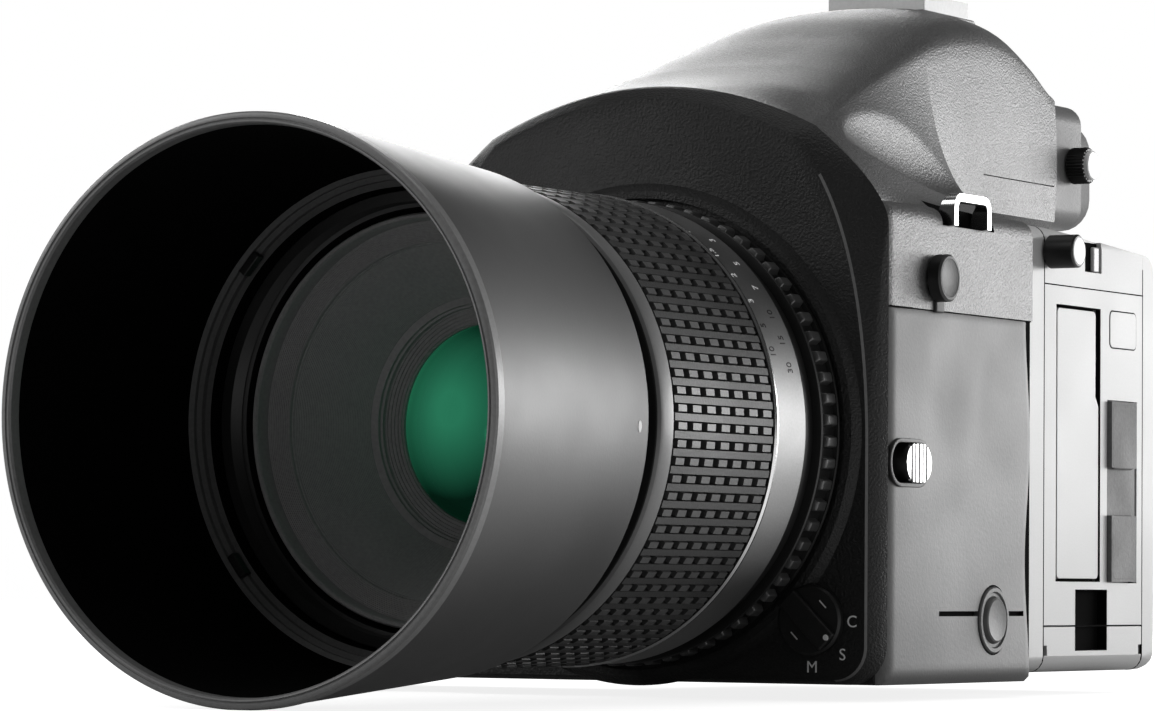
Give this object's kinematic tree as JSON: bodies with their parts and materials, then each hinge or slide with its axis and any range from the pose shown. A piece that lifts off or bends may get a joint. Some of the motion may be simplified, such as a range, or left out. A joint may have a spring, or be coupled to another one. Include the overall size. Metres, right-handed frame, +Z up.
{
  "type": "medium format digital camera",
  "caption": "Medium format reflex camera with prism hump, side grip, digital back and a hooded lens; focus ring, mirror, shutter, doors and buttons move.",
  "frame": {"origin": "centre of the tripod socket's mouth in the base plate", "axes": "+Z up, lens looks along -Y, +X towards the plain side, away from the grip"},
  "size_m": [0.1561, 0.2687, 0.1339],
  "materials": {
    "alloy": "die-cast, dark grey",
    "black_metal": "satin black paint",
    "steel": "brushed",
    "chrome": "polished",
    "front_plastic": "fine pebble texture",
    "hump_plastic": "coarse speckled texture",
    "side_rubber": "satin, smooth",
    "black_rubber": "matte",
    "black_plastic": "satin",
    "glass": "clear",
    "coated_glass": "green coating",
    "mirror": "silvered",
    "blade": "matte dark grey",
    "silver": "satin silver",
    "back_alloy": "smooth light satin",
    "back_dark": "satin dark grey",
    "sensor": "dark green, glossy",
    "board": "circuit board",
    "display": "black glass"
  },
  "bodies": {
    "body": {"chassis": "alloy", "gate_plate": "alloy", "base_plate": "black_metal", "tripod_bush": "steel", "front_cover": "front_plastic", "side_cover": "side_rubber", "top_cover": "hump_plastic", "lens_mount_ring": "chrome", "focusing_screen": "glass", "prism": "glass", "eyepiece_frame": "black_plastic", "eyepiece_lens": "glass", "eyecup": "black_rubber", "hot_shoe": "steel", "strap_lugs": "chrome", "sync_terminal": "steel", "shutter_frame": "black_metal", "hand_grip": "front_plastic", "grip_rubber": "black_rubber", "lens_rear_barrel": "black_metal", "lens_scale_band": "silver", "lens_sleeve": "alloy", "filter_ring": "black_metal", "back_frame": "back_alloy", "back_case": "back_alloy", "back_top": "back_alloy", "back_rear_cover": "back_dark", "sensor_module": "sensor", "main_board": "board", "display_panel": "display"},
    "mirror": {"mirror": "mirror"},
    "shutter_blade_low": {"shutter_blade_1": "blade"},
    "shutter_blade_mid": {"shutter_blade_2": "blade"},
    "shutter_blade_high": {"shutter_blade_3": "blade"},
    "release_slider": {"release_slider": "chrome"},
    "sync_cap": {"sync_cap": "black_plastic"},
    "port_cap": {"port_cap": "side_rubber"},
    "focus_mode_dial": {"focus_mode_dial": "black_plastic"},
    "diopter_knob": {"diopter_knob": "black_plastic"},
    "battery_insert": {"grip_battery_holder": "black_plastic", "grip_battery_cover": "black_plastic"},
    "shutter_button": {"shutter_button": "chrome"},
    "front_dial": {"front_dial": "black_plastic"},
    "rear_dial": {"rear_dial": "black_plastic"},
    "focus_ring": {"focus_ring": "black_metal", "focus_grip": "black_rubber"},
    "lens_carriage": {"lens_carriage": "black_metal", "front_element": "coated_glass", "rear_element": "coated_glass", "leaf_unit": "black_metal"},
    "hood": {"hood": "black_plastic"},
    "card_door": {"card_door": "back_alloy"},
    "port_cover": {"port_cover": "black_rubber"},
    "battery": {"battery": "back_alloy"},
    "release_knob": {"release_knob": "black_metal"},
    "rear_button_1": {"rear_button_1": "black_plastic"},
    "rear_button_2": {"rear_button_2": "black_plastic"},
    "rear_button_3": {"rear_button_3": "black_plastic"},
    "rear_button_4": {"rear_button_4": "black_plastic"}
  },
  "joints": [
    {"name": "mirror_flip", "type": "hinge", "parent": "body", "child": "mirror", "pos_m": [0, 0.0192, 0.0678], "axis": [-1, 0, 0], "range_deg": [0, 45]},
    {"name": "blade_high_drop", "type": "slide", "parent": "body", "child": "shutter_blade_high", "axis": [0, 0, -1], "range_m": [0, 0.042]},
    {"name": "blade_mid_drop", "type": "slide", "parent": "body", "child": "shutter_blade_mid", "axis": [0, 0, -1], "range_m": [0, 0.0281]},
    {"name": "blade_low_drop", "type": "slide", "parent": "body", "child": "shutter_blade_low", "axis": [0, 0, -1], "range_m": [0, 0.0141]},
    {"name": "release_slide", "type": "slide", "parent": "body", "child": "release_slider", "axis": [0, -1, 0], "range_m": [0, 0.004], "stiffness_N_per_m": 300},
    {"name": "sync_cap_pull", "type": "slide", "parent": "body", "child": "sync_cap", "axis": [1, 0, 0], "range_m": [0, 0.012]},
    {"name": "port_cap_pull", "type": "slide", "parent": "body", "child": "port_cap", "axis": [1, 0, 0], "range_m": [0, 0.012]},
    {"name": "focus_mode_turn", "type": "hinge", "parent": "body", "child": "focus_mode_dial", "pos_m": [0.035, -0.033, 0.0112], "axis": [0, -1, 0], "range_deg": [-40, 40]},
    {"name": "diopter_turn", "type": "hinge", "parent": "body", "child": "diopter_knob", "pos_m": [0.026, 0.098, 0.1002], "axis": [1, 0, 0], "range_deg": [-150, 150]},
    {"name": "battery_insert_pull", "type": "slide", "parent": "body", "child": "battery_insert", "axis": [0, 0, -1], "range_m": [0, 0.06]},
    {"name": "shutter_press", "type": "slide", "parent": "body", "child": "shutter_button", "axis": [0, 0, -1], "range_m": [0, 0.0015], "stiffness_N_per_m": 400},
    {"name": "front_dial_turn", "type": "hinge", "parent": "body", "child": "front_dial", "pos_m": [-0.082, -0.0306, 0.064], "axis": [1, 0, 0], "continuous": true},
    {"name": "rear_dial_turn", "type": "hinge", "parent": "body", "child": "rear_dial", "pos_m": [-0.084, 0.023, 0.066], "axis": [1, 0, 0], "continuous": true},
    {"name": "focus_turn", "type": "hinge", "parent": "body", "child": "focus_ring", "pos_m": [0, -0.075, 0.0437], "axis": [0, -1, 0], "range_deg": [0, 110.2]},
    {"name": "focus_travel", "type": "slide", "parent": "body", "child": "lens_carriage", "axis": [0, -1, 0], "range_m": [0, 0.008]},
    {"name": "hood_twist", "type": "hinge", "parent": "body", "child": "hood", "pos_m": [0, -0.13, 0.0437], "axis": [0, -1, 0], "range_deg": [0, 45]},
    {"name": "card_door_swing", "type": "hinge", "parent": "body", "child": "card_door", "pos_m": [0.043, 0.04875, 0.044], "axis": [0, 0, -1], "range_deg": [0, 100]},
    {"name": "port_cover_swing", "type": "hinge", "parent": "body", "child": "port_cover", "pos_m": [0.043, 0.08355, 0.0355], "axis": [0, 0, 1], "range_deg": [0, 90]},
    {"name": "battery_slide", "type": "slide", "parent": "body", "child": "battery", "axis": [1, 0, 0], "range_m": [0, 0.083]},
    {"name": "release_knob_slide", "type": "slide", "parent": "body", "child": "release_knob", "axis": [0, 1, 0], "range_m": [0, 0.004], "stiffness_N_per_m": 300},
    {"name": "rear_button_1_press", "type": "slide", "parent": "body", "child": "rear_button_1", "axis": [0, -1, 0], "range_m": [0, 0.0007], "stiffness_N_per_m": 400},
    {"name": "rear_button_2_press", "type": "slide", "parent": "body", "child": "rear_button_2", "axis": [0, -1, 0], "range_m": [0, 0.0007], "stiffness_N_per_m": 400},
    {"name": "rear_button_3_press", "type": "slide", "parent": "body", "child": "rear_button_3", "axis": [0, -1, 0], "range_m": [0, 0.0007], "stiffness_N_per_m": 400},
    {"name": "rear_button_4_press", "type": "slide", "parent": "body", "child": "rear_button_4", "axis": [0, -1, 0], "range_m": [0, 0.0007], "stiffness_N_per_m": 400}
  ],
  "couplings": [
    {"joint": "blade_mid_drop", "follows": "blade_high_drop", "ratio": 0.66667},
    {"joint": "blade_low_drop", "follows": "blade_high_drop", "ratio": 0.33333},
    {"joint": "focus_turn", "follows": "focus_travel", "rad_per_m": 239.98}
  ]
}
